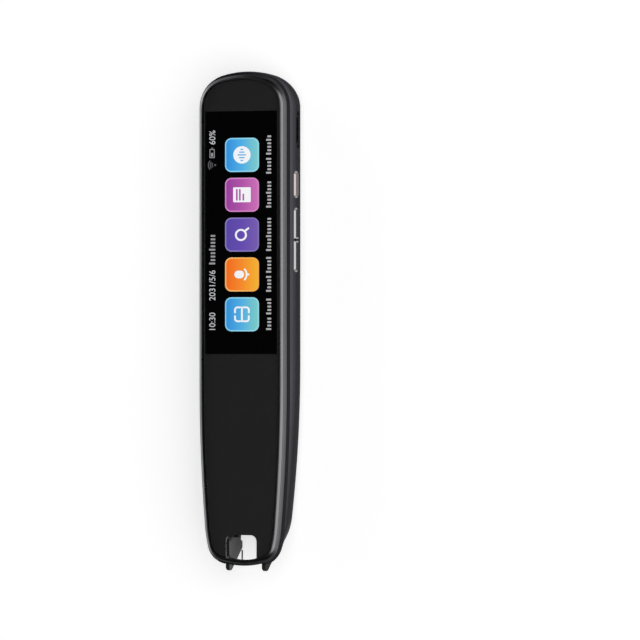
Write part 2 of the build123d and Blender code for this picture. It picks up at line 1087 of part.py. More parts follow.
def front_chip(x, y, size_x, size_y, height):
    return block(
        x - size_x / 2,
        x + size_x / 2,
        y - size_y / 2,
        y + size_y / 2,
        at_depth(board_level),
        at_depth(board_level - height),
    )


def back_chip(x, y, size_x, size_y, height):
    return block(
        x - size_x / 2,
        x + size_x / 2,
        y - size_y / 2,
        y + size_y / 2,
        at_depth(board_back + height),
        at_depth(board_back),
    )


def make_main_chips():
    """Processor under the can, memory and charger chips on the back of the board."""
    processor = front_chip(0, from_top(can_middle), processor_size, processor_size, processor_height)
    memory_y = from_top(can_middle)
    memory = back_chip(0, memory_y, memory_width, memory_length, chip_height)
    charger_y = from_top(boss_first + charger_size)
    charger = back_chip(charger_size, charger_y, charger_size, charger_size, chip_height)
    amplifier = back_chip(-charger_size, charger_y, charger_size, charger_size, chip_height)
    return Compound(children=[processor, memory, charger, amplifier])


def make_microphones():
    y = from_top(board_top + microphone_width)
    left, right = board_edges()
    places = (left + microphone_length, right - microphone_length)
    capsules = [front_chip(x, y, microphone_length, microphone_width, chip_height) for x in places]
    return Compound(children=capsules)


# Battery

def battery_span():
    """The battery's upper end and lower end, from the top."""
    return board_end + battery_gap, body_length - scan_board_foot - scan_board_length - battery_gap


def make_battery():
    start, end = battery_span()
    pack = block(
        -battery_width / 2,
        battery_width / 2,
        from_top(end),
        from_top(start),
        at_depth(battery_back),
        at_depth(battery_level),
    )
    return fillet(pack.edges().filter_by(Axis.Y), radius=battery_round)


def make_battery_tape():
    start, end = battery_span()
    half = battery_width / 2 - tape_margin
    return block(
        -half,
        half,
        from_top(end - tape_margin),
        from_top(start + tape_margin),
        at_depth(battery_level),
        at_depth(plate_back),
    )


def make_battery_lead():
    """Plug on the board's back and the flat lead to the battery."""
    plug_end = board_end - plug_length / 2
    middle = board_edges()[0] + plug_side_gap + plug_width / 2
    plug = block(
        middle - plug_width / 2,
        middle + plug_width / 2,
        from_top(plug_end),
        from_top(plug_end - plug_length),
        at_depth(board_back + plug_height),
        at_depth(board_back),
    )
    lead = block(
        middle - lead_width / 2,
        middle + lead_width / 2,
        from_top(battery_span()[0]),
        from_top(plug_end),
        at_depth(board_back + lead_thickness * 2),
        at_depth(board_back + lead_thickness),
    )
    return plug + lead


# Speaker

def make_speaker_frame():
    """Shallow cup that holds the magnet and the cone."""
    y = from_top(speaker_middle)
    level = speaker_seat_depth - speaker_height
    cup = z_cylinder(0, y, speaker_radius, level, speaker_seat_depth)
    bore = speaker_radius - speaker_wall
    return cup - z_cylinder(0, y, bore, level + speaker_floor, speaker_seat_depth + overrun)


def make_speaker_magnet():
    level = speaker_seat_depth - speaker_height + speaker_floor
    return z_cylinder(0, from_top(speaker_middle), magnet_radius, level, level + magnet_height)


def make_speaker_cone():
    """Thin cone with a flat centre, held in the cup's wall."""
    edge = speaker_radius - speaker_wall
    low = at_depth(speaker_seat_depth - cone_thickness)
    high = low + cone_rise
    t = cone_thickness
    points = [
        (0, high),
        (cone_dome_radius, high),
        (edge - 2 * speaker_wall, low),
        (edge, low),
        (edge, low + t),
        (edge - 2 * speaker_wall, low + t),
        (cone_dome_radius, high + t),
        (0, high + t),
    ]
    face = Plane.XZ * make_face(Polyline(*points, close=True))
    return Pos(0, from_top(speaker_middle), 0) * revolve(face, axis=Axis.Z)


def make_speaker_gasket():
    """Foam ring from the speaker's rim down to the curved shell."""
    y = from_top(speaker_middle)
    level, inner = speaker_seat_depth, speaker_radius - gasket_width
    ring = z_cylinder(0, y, speaker_radius, level, body_thickness)
    ring -= z_cylinder(0, y, inner, level - overrun, body_thickness + overrun)
    return ring & body_form(wall + film_gap)


def make_speaker_mesh():
    """Dust cloth stuck behind the grille holes."""
    y = from_top(speaker_middle)
    disc = z_cylinder(0, y, mesh_radius, speaker_seat_depth - overrun, body_thickness)
    inner = back_form(wall + film_gap + mesh_thickness)
    return (disc & back_form(wall + film_gap)) - inner


# Scan window pocket

def slant_point(along, normal):
    """A point by its way up the slanted floor from its foot and its height behind it."""
    angle = radians(slant_angle)
    u = slant_foot + along * cos(angle) + normal * sin(angle)
    d = slant_foot_depth + along * sin(angle) - normal * cos(angle)
    return (u, d)


def slant_length():
    return (slant_top - slant_foot) / cos(radians(slant_angle))


def slant_plate(half, start, end, level, back):
    """A plate parallel to the slanted floor, between two heights behind its face."""
    points = [
        slant_point(start, level),
        slant_point(end, level),
        slant_point(end, back),
        slant_point(start, back),
    ]
    return side_plate(points, -half, half)


def window_start():
    return (slant_length() - window_length) / 2


def window_end():
    return window_start() + window_length


def make_scan_bezel():
    """Black tub in the pocket: side walls, slanted floor, shelf and the window's seat."""
    half = pocket_width / 2 - pocket_gap
    top, foot = pocket_top - pocket_gap, opening_top + 2 * fork_travel
    floor = slant_plate(half, 0.0, slant_length(), 0.0, floor_thickness)
    shelf = side_plate(
        [
            (foot, shelf_depth),
            slant_point(0.0, 0.0),
            slant_point(0.0, floor_thickness),
            (foot, plate_back + slide_gap),
        ],
        -half,
        half,
    )
    head_back = (top - slant_top) / sin(radians(slant_angle))
    head = side_plate(
        [
            slant_point(slant_length(), 0.0),
            (slant_top, body_thickness),
            (top, body_thickness),
            slant_point(slant_length(), head_back),
        ],
        -half,
        half,
    )
    cheek = side_plate(
        [
            (foot, shelf_depth),
            slant_point(0.0, 0.0),
            slant_point(slant_length(), 0.0),
            (slant_top, body_thickness),
            (foot, body_thickness),
        ],
        half - pocket_wall,
        half,
    )
    tub = floor + shelf + head + both_sides(cheek)
    tub &= pocket_prism(pocket_gap, foot, z_front)
    seat = window_width / 2 + window_gap
    tub -= slant_plate(
        seat, window_start() - window_gap, window_end() + window_gap, -overrun, window_thickness
    )
    inner = window_width / 2 - aperture_border
    tub -= slant_plate(
        inner,
        window_start() + aperture_border,
        window_end() - aperture_border,
        -overrun,
        floor_thickness + overrun,
    )
    return tub & body_form(pocket_gap)


def make_scan_window():
    return slant_plate(window_width / 2, window_start(), window_end(), 0.0, window_thickness)


def make_light_guide():
    """Grey plate behind the window, with two light slots and a raised block for the lens."""
    half = window_width / 2 - aperture_border - window_gap
    start = window_start() + aperture_border + window_gap
    end = window_end() - aperture_border - window_gap
    back = window_thickness + light_guide_thickness
    guide = slant_plate(half, start, end, window_thickness + window_gap, back)
    slot_start = start + light_slot_from_foot
    slot = slant_plate(
        light_slot_outer, slot_start, slot_start + light_slot_height, 0.0, back + overrun
    )
    keep = slant_plate(light_slot_inner, start, end, 0.0, back + overrun)
    return guide - (slot - keep)


def led_places():
    middle = (light_slot_inner + light_slot_outer) / 2
    return (-middle, middle)


def make_scan_leds():
    """Two small lamps on the light board, behind the slots."""
    start = window_start() + aperture_border + window_gap + light_slot_from_foot
    middle = start + light_slot_height / 2
    level = window_thickness + light_guide_thickness + window_gap
    lamps = []
    for x in led_places():
        points = [
            slant_point(middle - led_height / 2, level),
            slant_point(middle + led_height / 2, level),
            slant_point(middle + led_height / 2, level + led_thickness),
            slant_point(middle - led_height / 2, level + led_thickness),
        ]
        lamps.append(side_plate(points, x - led_width / 2, x + led_width / 2))
    return Compound(children=lamps)


def make_light_board():
    """Small board behind the lamps, with a window for the camera."""
    level = window_thickness + light_guide_thickness + window_gap + led_thickness
    half = window_width / 2 + window_gap
    end = slant_length() - floor_thickness
    board = slant_plate(half, floor_thickness, end, level, level + light_board_thickness)
    view = slant_plate(
        lens_view_width / 2,
        2 * floor_thickness,
        end - floor_thickness,
        level - overrun,
        level + light_board_thickness + overrun,
    )
    return board - view


# Camera

def holder_half():
    return arm_inner - slide_gap


def make_camera_holder():
    """Block that carries the lens barrel, with ears that keep the fork's arms in place."""
    half, back = holder_half(), plate_back + holder_height
    top = holder_foot + holder_length
    holder = deep_block(half, holder_foot, top, plate_back, back)
    ear_level = plate_back + 2 * slide_gap + arm_depth
    ear_half = arm_inner + arm_thickness
    holder += deep_block(ear_half, holder_foot, top, ear_level, ear_level + holder_ear)
    lug = block(
        half - holder_lug_width,
        half,
        from_nose(top),
        from_nose(arm_top - cross_bar - slide_gap),
        at_depth(plate_back + arm_depth),
        at_depth(plate_back),
    )
    holder += both_sides(lug)
    y0, y1 = from_nose(holder_foot - overrun), from_nose(top + overrun)
    return holder - y_cylinder(0, y0, y1, at_depth(camera_depth), barrel_radius + barrel_gap)


def barrel_span():
    top = holder_foot + holder_length - sensor_thickness
    return top - barrel_length, top


def make_lens_barrel():
    foot, top = barrel_span()
    z = at_depth(camera_depth)
    barrel = y_cylinder(0, from_nose(foot), from_nose(top), z, barrel_radius)
    return barrel - y_cylinder(0, from_nose(foot - overrun), from_nose(top + overrun), z, barrel_bore)


def make_camera_lens():
    """Biconvex lens inside the lower end of the barrel."""
    foot = barrel_span()[0] + lens_thickness / 2
    z = at_depth(camera_depth)
    lens = y_cylinder(0, from_nose(foot), from_nose(foot + lens_thickness), z, barrel_bore - film_gap)
    rims = lens.edges().filter_by(GeomType.CIRCLE)
    return fillet(rims, radius=lens_thickness / 3)


def make_image_sensor():
    top = holder_foot + holder_length
    half = sensor_size / 2
    return deep_block(half, top - sensor_thickness, top, camera_depth - half, camera_depth + half)


def make_camera_board():
    top = holder_foot + holder_length
    back = plate_back + holder_height
    return deep_block(
        camera_board_width / 2, top, top + camera_board_thickness, plate_back + slide_gap, back
    )


# Fork

def foot_outline():
    """Side view of a foot: straight front, rounded tip, slanted heel and rounded root."""
    tip = (foot_tip_radius - foot_reach, split_depth + slide_gap + foot_tip_radius)
    front = split_depth + slide_gap
    heel = (foot_heel, foot_back_depth)
    reach_u, reach_d = heel[0] - tip[0], heel[1] - tip[1]
    distance = sqrt(reach_u**2 + reach_d**2)
    along = asin(reach_d / distance)
    touch = along + acos(foot_tip_radius / distance)
    return tip, front, heel, touch


def make_foot():
    """One foot of the fork on the right side."""
    tip, front, heel, touch = foot_outline()
    r = foot_tip_radius

    def spot(u, d):
        return (from_nose(u), at_depth(d))

    touch_u, touch_d = tip[0] + r * cos(touch), tip[1] + r * sin(touch)
    turn = (touch + radians(270)) / 2
    mid_u, mid_d = tip[0] + r * cos(turn), tip[1] + r * sin(turn)
    round_u = foot_root - foot_root_round / 2
    edges = [
        ThreePointArc(spot(touch_u, touch_d), spot(mid_u, mid_d), spot(tip[0], front)),
        Polyline(
            spot(tip[0], front),
            spot(foot_root, front),
            spot(foot_root, heel[1] - foot_root_round),
            spot(round_u, heel[1]),
            spot(*heel),
            spot(touch_u, touch_d),
        ),
    ]
    face = make_face(edges)
    foot = extrude(Plane.YZ.offset(foot_inner) * face, amount=foot_thickness)
    tip_edges = foot.edges().filter_by(GeomType.CIRCLE)
    return fillet(tip_edges, radius=foot_edge_round)


def make_scan_fork():
    """Sliding fork: the feet that are pressed on the page, two arms and a cross bar."""
    level = plate_back + slide_gap
    outer = arm_inner + arm_thickness
    shoulder_foot = foot_root - arm_thickness
    shoulder = block(
        foot_inner,
        outer,
        from_nose(shoulder_foot),
        from_nose(foot_root),
        at_depth(level + arm_depth),
        at_depth(level),
    )
    arm = block(
        arm_inner,
        outer,
        from_nose(shoulder_foot),
        from_nose(arm_top),
        at_depth(level + arm_depth),
        at_depth(level),
    )
    bar = deep_block(outer, arm_top - cross_bar, arm_top, level, level + arm_depth)
    slide = both_sides(shoulder + arm) + bar
    slide &= body_form(wall + slot_gap, raised=overrun)
    return both_sides(make_foot()) + slide


# Fork switch

def fork_switch_foot():
    return arm_top + fork_travel + fork_stop_gap


def switch_axis_depth():
    return plate_back + scan_board_thickness + fork_switch_height / 2


def make_scan_board():
    foot, half = scan_board_foot, scan_board_width / 2
    top = foot + scan_board_length
    return deep_block(half, foot, top, plate_back, plate_back + scan_board_thickness)


def make_fork_switch():
    level = plate_back + scan_board_thickness
    foot = fork_switch_foot()
    body = deep_block(
        fork_switch_width / 2, foot, foot + fork_switch_length, level, level + fork_switch_height
    )
    end = arm_top + fork_plunger_length + fork_travel + plunger_gap
    z = at_depth(switch_axis_depth())
    bore = fork_plunger_radius + plunger_gap
    return body - y_cylinder(0, from_nose(foot - overrun), from_nose(end), z, bore)


def make_fork_switch_plunger():
    z = at_depth(switch_axis_depth())
    y0, y1 = from_nose(arm_top), from_nose(arm_top + fork_plunger_length)
    return y_cylinder(0, y0, y1, z, fork_plunger_radius)


# Flat cables and antenna

def make_camera_flex():
    """Flat cable from the camera board, behind the battery, up to the main board."""
    t = flex_thickness
    start = holder_foot + holder_length + camera_board_thickness
    run, end = battery_back + camera_flex_gap, body_length - board_end + plug_length
    points = [
        (start, camera_depth),
        (start + t, camera_depth),
        (start + t, run),
        (end - t, run),
        (end - t, board_back),
        (end, board_back),
        (end, run + t),
        (start, run + t),
    ]
    return side_plate(points, 0.0, camera_flex_width)


def make_antenna():
    """Film inside the shell's left wall."""
    z0, z1 = at_depth(key_depth + antenna_drop), at_depth(key_depth)
    y0, y1 = from_top(antenna_top + antenna_length), from_top(antenna_top)
    region = block(-half_width, -half_width / 2, y0, y1, z0, z1)
    inner = body_form(wall, raised=overrun)
    return (region & Pos(antenna_gap, 0, 0) * inner) - Pos(antenna_gap + antenna_thickness, 0, 0) * inner


def solids_of(shape):
    """One solid, or a compound of the separate solids."""
    solids = shape.solids()
    return solids[0] if len(solids) == 1 else Compound(children=list(solids))


power_middle, up_middle, down_middle = key_middles()

nodes = {
    "cover_glass": make_cover_glass(),
    "glass_mask": make_glass_mask(),
    "glass_adhesive": make_glass_adhesive(),
    "glass_bezel": make_glass_bezel(),
    "side_frame": make_side_frame(),
    "mid_frame": make_mid_frame(),
    "display_panel": make_display_panel(),
    "backlight_unit": make_backlight_unit(),
    "display_flex": make_display_flex(),
    "rear_shell": make_rear_shell(),
    "power_key": make_power_key(),
    "volume_up_key": make_volume_up_key(),
    "volume_down_key": make_volume_down_key(),
    "power_switch_plunger": make_switch_plunger(power_middle),
    "volume_up_switch_plunger": make_switch_plunger(up_middle),
    "volume_down_switch_plunger": make_switch_plunger(down_middle),
    "key_switches": make_key_switches(),
    "key_flex": make_key_flex(),
    "key_bracket": make_key_bracket(),
    "usb_port": make_usb_port(),
    "usb_tongue": make_usb_tongue(),
    "main_board": make_main_board(),
    "board_screws": make_board_screws(),
    "shield_can": make_shield_can(),
    "main_chips": make_main_chips(),
    "microphones": make_microphones(),
    "battery": make_battery(),
    "battery_tape": make_battery_tape(),
    "battery_lead": make_battery_lead(),
    "speaker_frame": make_speaker_frame(),
    "speaker_magnet": make_speaker_magnet(),
    "speaker_cone": make_speaker_cone(),
    "speaker_gasket": make_speaker_gasket(),
    "speaker_mesh": make_speaker_mesh(),
    "scan_bezel": make_scan_bezel(),
    "scan_window": make_scan_window(),
    "light_guide": make_light_guide(),
    "scan_leds": make_scan_leds(),
    "light_board": make_light_board(),
    "camera_holder": make_camera_holder(),
    "lens_barrel": make_lens_barrel(),
    "camera_lens": make_camera_lens(),
    "image_sensor": make_image_sensor(),
    "camera_board": make_camera_board(),
    "camera_flex": make_camera_flex(),
    "scan_fork": make_scan_fork(),
    "scan_board": make_scan_board(),
    "fork_switch": make_fork_switch(),
    "fork_switch_plunger": make_fork_switch_plunger(),
    "antenna": make_antenna(),
}

for name, shape in nodes.items():
    export_step(solids_of(shape), f"parts/{name}.step")
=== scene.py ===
import math

import bmesh
import bpy
from mathutils import Matrix, Vector


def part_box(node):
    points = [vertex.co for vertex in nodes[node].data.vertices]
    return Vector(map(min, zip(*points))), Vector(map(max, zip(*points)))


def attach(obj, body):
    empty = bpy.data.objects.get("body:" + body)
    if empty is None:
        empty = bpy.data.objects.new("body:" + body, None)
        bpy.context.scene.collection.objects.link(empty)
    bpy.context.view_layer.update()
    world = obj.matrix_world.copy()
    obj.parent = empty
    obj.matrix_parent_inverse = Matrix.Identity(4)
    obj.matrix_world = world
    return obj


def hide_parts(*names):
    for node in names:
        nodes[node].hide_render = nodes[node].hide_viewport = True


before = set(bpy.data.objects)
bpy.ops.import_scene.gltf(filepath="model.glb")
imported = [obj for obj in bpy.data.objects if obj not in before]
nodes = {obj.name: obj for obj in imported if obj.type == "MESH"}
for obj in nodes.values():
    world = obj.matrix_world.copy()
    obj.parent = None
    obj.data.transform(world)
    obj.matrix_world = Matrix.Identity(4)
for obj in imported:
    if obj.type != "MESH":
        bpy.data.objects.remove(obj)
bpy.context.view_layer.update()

# All lengths are in metres. The pen lies on its back: +Z out of the screen, -Y to the nose and
# +X to the keys.
MM = 0.001

# The photograph: one pixel in mm, the turn of its front view and where the pen lies in it
PIXEL_MM = 0.2947
IMAGE_PX = 640
VIEW_TURN = math.radians(30.0)
CENTRE_LINE_PX = 240.4
MIDDLE_PY = 321.1

# The camera: its distance, its sensor's width in mm, and the nearest and farthest that it sees
CAMERA_DISTANCE = 2.0
SENSOR_WIDTH = 36.0
NEAREST = 0.1
FARTHEST = 20.0

scene = bpy.context.scene
Z_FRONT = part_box("cover_glass")[1].z
DISPLAY_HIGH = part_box("display_panel")[1]
NOSE_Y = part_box("side_frame")[0].y

# The scan opening, as far as the ring round the glass borders it: half its width, how far its two
# ends lie from the nose, a narrow blend at its edges, and how far out the fork's inner faces lie
OPENING_HALF = 5.6 * MM
OPENING_START = 2.4 * MM
OPENING_END = 14.0 * MM
OPENING_FOOT_Y = NOSE_Y + OPENING_START
OPENING_TOP_Y = NOSE_Y + OPENING_END
EDGE = 0.1 * MM
FORK_INNER = 5.9 * MM

# The window that the print leaves for the screen: half its width, the display's margin above it,
# its length, the black border on its left, and how far the print lies below the glass
SCREEN_HALF = 12.05 * MM
DISPLAY_MARGIN = 2.2 * MM
SCREEN_LENGTH = 71.6 * MM
SCREEN_TOP_Y = DISPLAY_HIGH.y - DISPLAY_MARGIN
SCREEN_FOOT_Y = SCREEN_TOP_Y - SCREEN_LENGTH
BORDER_WIDTH = 0.55 * MM
PRINT_DROP = 0.02 * MM

# The grain of each finish, the patches in which its roughness drifts, and the depth of its bumps
PAINT_GRAIN, PAINT_PATCH, PAINT_BUMP = 0.12 * MM, 4 * MM, 0.002 * MM
TRIM_GRAIN, TRIM_PATCH = 0.2 * MM, 6 * MM
FRAME_GRAIN, FRAME_PATCH, FRAME_BUMP = 0.10 * MM, 3 * MM, 0.001 * MM
KEY_GRAIN, KEY_BUMP = 0.05 * MM, 0.001 * MM
FORK_GRAIN, FORK_PATCH, FORK_BUMP = 0.12 * MM, 3 * MM, 0.003 * MM
PRINT_GRAIN, PRINT_PATCH = 0.1 * MM, 3 * MM
GLASS_PATCH = 8 * MM
MOULD_BUMP = 0.004 * MM

# Where a finish, a painted shade or a painted light changes with the way that a surface faces: the
# part of its normal along one axis at which the change starts, and at which it is complete
SIDE_SHADE_TURN = (0.35, -0.25)
BACK_TURN = (-0.35, -0.85)
END_SHADE_TURN = (0.15, 0.6)
KEY_FACE_TURN = (0.86, 0.97)
INWARD_LIGHT_TURN = (0.7, 0.95)
UNDERSIDE_TURN = (-0.9, -0.5)

# The share by which the roughness of a plain surface and that of glass drift. On a plain surface its
# patches are so many times as large as the grain.
SURFACE_DRIFT_SHARE = 0.08
GLASS_DRIFT_SHARE = 0.2
PATCH_TIMES = 30

# The glass is coated, so its mirror stays weak at a glancing angle
MIRROR_MOST = 0.10
GLASS_IOR = 1.5

BLACK = (0.0, 0.0, 0.0, 1.0)
WHITE = (1.0, 1.0, 1.0, 1.0)


def srgb(code):
    """Linear colour from a hex code."""
    values = [int(code[i:i + 2], 16) / 255 for i in (0, 2, 4)]
    return tuple(v / 12.92 if v <= 0.04045 else ((v + 0.055) / 1.055) ** 2.4 for v in values)


# Materials

class Nodes:
    """A small builder for one material's node tree."""

    def __init__(self, name):
        self.material = bpy.data.materials.new(name)
        self.material.use_nodes = True
        self.tree = self.material.node_tree
        self.tree.nodes.clear()
        self.output = self.add("ShaderNodeOutputMaterial")
        places = self.add("ShaderNodeTexCoord").outputs
        self.coords = places["Object"]
        self.normals = places["Normal"]

    def add(self, kind, **values):
        """A node with these settings and these values on its sockets."""
        node = self.tree.nodes.new(kind)
        for key, value in values.items():
            if hasattr(node, key):
                setattr(node, key, value)
            else:
                node.inputs[key.replace("_", " ")].default_value = value
        return node

    def link(self, source, target):
        self.tree.links.new(source, target)

    def maths(self, operation, *values):
        """The result of an operation on numbers and sockets."""
        node = self.add("ShaderNodeMath", operation=operation)
        for socket, value in zip(node.inputs, values):
            if isinstance(value, float):
                socket.default_value = value
            else:
                self.link(value, socket)
        return node.outputs["Value"]

    def size_of(self, value):
        return self.maths("ABSOLUTE", value)

    def product(self, first, *others):
        for other in others:
            first = self.maths("MULTIPLY", first, other)
        return first

    def split_axes(self, vector):
        node = self.add("ShaderNodeSeparateXYZ")
        self.link(vector, node.inputs["Vector"])
        return node.outputs

    def noise(self, size, stretch=(1.0, 1.0, 1.0)):
        """Noise whose blobs are about this size."""
        mapping = self.add("ShaderNodeMapping", Scale=tuple(s / size for s in stretch))
        self.link(self.coords, mapping.inputs["Vector"])
        texture = self.add("ShaderNodeTexNoise", Scale=1.0, Detail=3.0, Roughness=0.5)
        self.link(mapping.outputs["Vector"], texture.inputs["Vector"])
        return texture.outputs["Fac"]

    def spread(self, value, low, high, start=0.3, end=0.7):
        """Low where the value is at its start and high at its end: noise keeps to the middle range."""
        node = self.add("ShaderNodeMapRange", From_Min=start, From_Max=end, To_Min=low, To_Max=high)
        self.link(value, node.inputs["Value"])
        return node.outputs["Result"]

    def between(self, value, low, high):
        """Low where the value is 0 and high where it is 1."""
        return self.spread(value, low, high, 0.0, 1.0)

    def step(self, value, start, end):
        """Smoothly from 0 at start to 1 at end."""
        node = self.add("ShaderNodeMapRange", From_Min=start, From_Max=end)
        node.interpolation_type = "SMOOTHSTEP"
        self.link(value, node.inputs["Value"])
        return node.outputs["Result"]

    def patches(self, low, high, size):
        """A value that drifts between low and high, in patches of about this size."""
        return self.spread(self.noise(size), low, high)

    def blend(self, factor, first, second):
        """A colour between two colours."""
        node = self.add("ShaderNodeMix", data_type="RGBA")
        self.link(factor, node.inputs["Factor"])
        for socket, colour in ((node.inputs[6], first), (node.inputs[7], second)):
            if isinstance(colour, tuple):
                socket.default_value = (*colour, 1.0)
            else:
                self.link(colour, socket)
        return node.outputs[2]

    def grained(self, code, change, grain):
        """The colour of a hex code, which varies by this share with a fine grain."""
        colour = srgb(code)
        light = tuple(min(c * (1 + change), 1.0) for c in colour)
        dark = tuple(c * (1 - change) for c in colour)
        return self.blend(self.spread(grain, 0.0, 1.0), dark, light)

    def metal_with_painted_end_shade(self, side_code, end_shade_code, change, grain):
        """Metal with painted shade: darker where it faces the pen's two ends."""
        end_shade = self.step(self.size_of(self.split_axes(self.normals)["Y"]), *END_SHADE_TURN)
        sides = self.grained(side_code, change, grain)
        ends = self.grained(end_shade_code, change, grain)
        return self.blend(end_shade, sides, ends)

    def bump(self, height, depth):
        node = self.add("ShaderNodeBump", Distance=depth, Strength=1.0)
        self.link(height, node.inputs["Height"])
        return node.outputs["Normal"]

    def principled(self, **values):
        return self.add("ShaderNodeBsdfPrincipled", **values)

    def mixed(self, factor, first, second):
        """The first shader at 0 and the second at 1."""
        node = self.add("ShaderNodeMixShader")
        self.link(factor, node.inputs["Fac"])
        self.link(first, node.inputs[1])
        self.link(second, node.inputs[2])
        return node.outputs["Shader"]

    def finish(self, shader):
        self.link(shader, self.output.inputs["Surface"])
        return self.material

    def coat(self, shader, colour, roughness, height=None, depth=0.0):
        """The material of a shader whose colour, roughness and height come from nodes."""
        self.link(colour, shader.inputs["Base Color"])
        self.link(roughness, shader.inputs["Roughness"])
        if depth:
            self.link(self.bump(height, depth), shader.inputs["Normal"])
        return self.finish(shader.outputs["BSDF"])


def surface(name, code, roughness, grain, change=0.12, bump=0.0, stretch=(1, 1, 1), **more):
    """A solid surface whose colour, roughness and height vary with a grain of the given size."""
    n = Nodes(name)
    fine = n.noise(grain, stretch)
    drift = roughness * SURFACE_DRIFT_SHARE
    rough = n.patches(roughness - drift, roughness + drift, grain * PATCH_TIMES)
    return n.coat(n.principled(**more), n.grained(code, change, fine), rough, fine, bump)


def clear_pane(name, tint, roughness):
    """Clear glass: see-through, with a mirror on its outer faces, but none on a bonded underside."""
    n = Nodes(name)
    see = n.add("ShaderNodeBsdfTransparent", Color=(*tint, 1.0))
    mirror = n.principled(Metallic=1.0, Base_Color=WHITE)
    drift = roughness * GLASS_DRIFT_SHARE
    rough = n.patches(roughness - drift, roughness + drift, GLASS_PATCH)
    n.link(rough, mirror.inputs["Roughness"])
    fresnel = n.add("ShaderNodeFresnel", IOR=GLASS_IOR)
    capped = n.maths("MINIMUM", fresnel.outputs["Fac"], MIRROR_MOST)
    outer = n.maths("SUBTRACT", 1.0, n.add("ShaderNodeNewGeometry").outputs["Backfacing"])
    free = n.step(n.split_axes(n.normals)["Z"], *UNDERSIDE_TURN)
    share = n.product(capped, outer, free)
    return n.finish(n.mixed(share, see.outputs["BSDF"], mirror.outputs["BSDF"]))


def shell_material():
    """Satin paint with painted shade down the sides, and a metallic sheen on the curved back."""
    n = Nodes("shell_paint")
    grain = n.noise(PAINT_GRAIN)
    facing = n.split_axes(n.normals)["Z"]
    # Painted shade: the paint is lighter where the side faces up and darker where it turns down
    down = n.step(facing, *SIDE_SHADE_TURN)
    back = n.step(facing, *BACK_TURN)
    side = n.blend(down, n.grained("5e5d62", 0.10, grain), n.grained("4b4a4f", 0.10, grain))
    colour = n.blend(back, side, n.grained("56555b", 0.10, grain))
    shader = n.principled(Specular_IOR_Level=0.1, Specular_Tint=(0.1, 0.1, 0.1, 1.0))
    n.link(n.between(back, 0.8, 0.9), shader.inputs["Metallic"])
    return n.coat(shader, colour, n.patches(0.40, 0.46, PAINT_PATCH), grain, PAINT_BUMP)


def trim_material():
    """Polished dark metal with painted shade where it faces the pen's two ends, blackened where the
    ring's ledge and pointer lie in the scan opening.
    """
    n = Nodes("polished_trim")
    place = n.split_axes(n.coords)
    dark = n.product(
        n.step(n.size_of(place["X"]), OPENING_HALF, OPENING_HALF - EDGE),
        n.step(place["Y"], OPENING_FOOT_Y, OPENING_FOOT_Y + EDGE),
        n.step(place["Y"], OPENING_TOP_Y, OPENING_TOP_Y - EDGE),
    )
    # The second colour is painted shade where the ring faces the pen's two ends
    metal = n.metal_with_painted_end_shade("6c6c6e", "3c3c3e", 0.04, n.noise(TRIM_GRAIN))
    shader = n.principled(Specular_IOR_Level=0.1)
    n.link(n.between(dark, 1.0, 0.0), shader.inputs["Metallic"])
    return n.coat(shader, n.blend(dark, metal, srgb("0c0c0d")), n.patches(0.27, 0.33, TRIM_PATCH))


def frame_material():
    """Satin dark metal that stays dark at a glancing angle, with painted shade where it faces the pen's
    two ends.
    """
    n = Nodes("frame_metal")
    grain = n.noise(FRAME_GRAIN)
    # The second colour is painted shade where the band faces the pen's two ends
    colour = n.metal_with_painted_end_shade("626264", "3e3e40", 0.06, grain)
    shader = n.principled(Metallic=1.0, Specular_Tint=(0.05, 0.05, 0.05, 1.0))
    return n.coat(shader, colour, n.patches(0.31, 0.37, FRAME_PATCH), grain, FRAME_BUMP)


def key_material(name, face, edge):
    """Brushed key: a satin face and a bright cut edge round it."""
    n = Nodes(name)
    grain = n.noise(KEY_GRAIN, stretch=(1.0, 0.08, 1.0))
    on_face = n.step(n.split_axes(n.normals)["X"], *KEY_FACE_TURN)
    colour = n.blend(on_face, n.grained(edge, 0.05, grain), n.grained(face, 0.08, grain))
    shader = n.principled(Metallic=1.0)
    return n.coat(shader, colour, n.between(on_face, 0.22, 0.36), grain, KEY_BUMP)


def fork_material():
    """Satin black on the faces that show, with painted light on those that face into the scan opening.
    """
    n = Nodes("fork_black")
    grain = n.noise(FORK_GRAIN)
    # Painted light: the faces that face into the scan opening get a lighter grey
    inward = n.step(n.size_of(n.split_axes(n.normals)["X"]), *INWARD_LIGHT_TURN)
    central = n.step(n.size_of(n.split_axes(n.coords)["X"]), FORK_INNER + EDGE, FORK_INNER)
    inner = n.product(inward, central)
    colour = n.blend(inner, n.grained("242426", 0.12, grain), n.grained("6a6a6b", 0.12, grain))
    shader = n.principled(Specular_IOR_Level=0.1)
    return n.coat(shader, colour, n.patches(0.41, 0.49, FORK_PATCH), grain, FORK_BUMP)


def print_material():
    """Dark print under the glass, black in a narrow border on the screen's left side."""
    n = Nodes("glass_print")
    place = n.split_axes(n.coords)
    edge_x = -SCREEN_HALF - BORDER_WIDTH
    border = n.product(
        n.step(place["X"], edge_x, edge_x + EDGE),
        n.step(place["X"], 0.0, -EDGE),
        n.step(place["Y"], SCREEN_FOOT_Y - EDGE, SCREEN_FOOT_Y),
        n.step(place["Y"], SCREEN_TOP_Y + EDGE, SCREEN_TOP_Y),
    )
    plain = n.grained("282829", 0.05, n.noise(PRINT_GRAIN))
    shader = n.principled(Specular_IOR_Level=0.05)
    return n.coat(shader, n.blend(border, plain, srgb("030304")), n.patches(0.46, 0.54, PRINT_PATCH))


shell_paint = shell_material()
glass_print = print_material()
frame_metal = frame_material()
trim_metal = trim_material()
fork_black = fork_material()
key_rose = key_material("key_rose", "706866", "989290")
key_silver = key_material("key_silver", "2a2a2c", "929294")

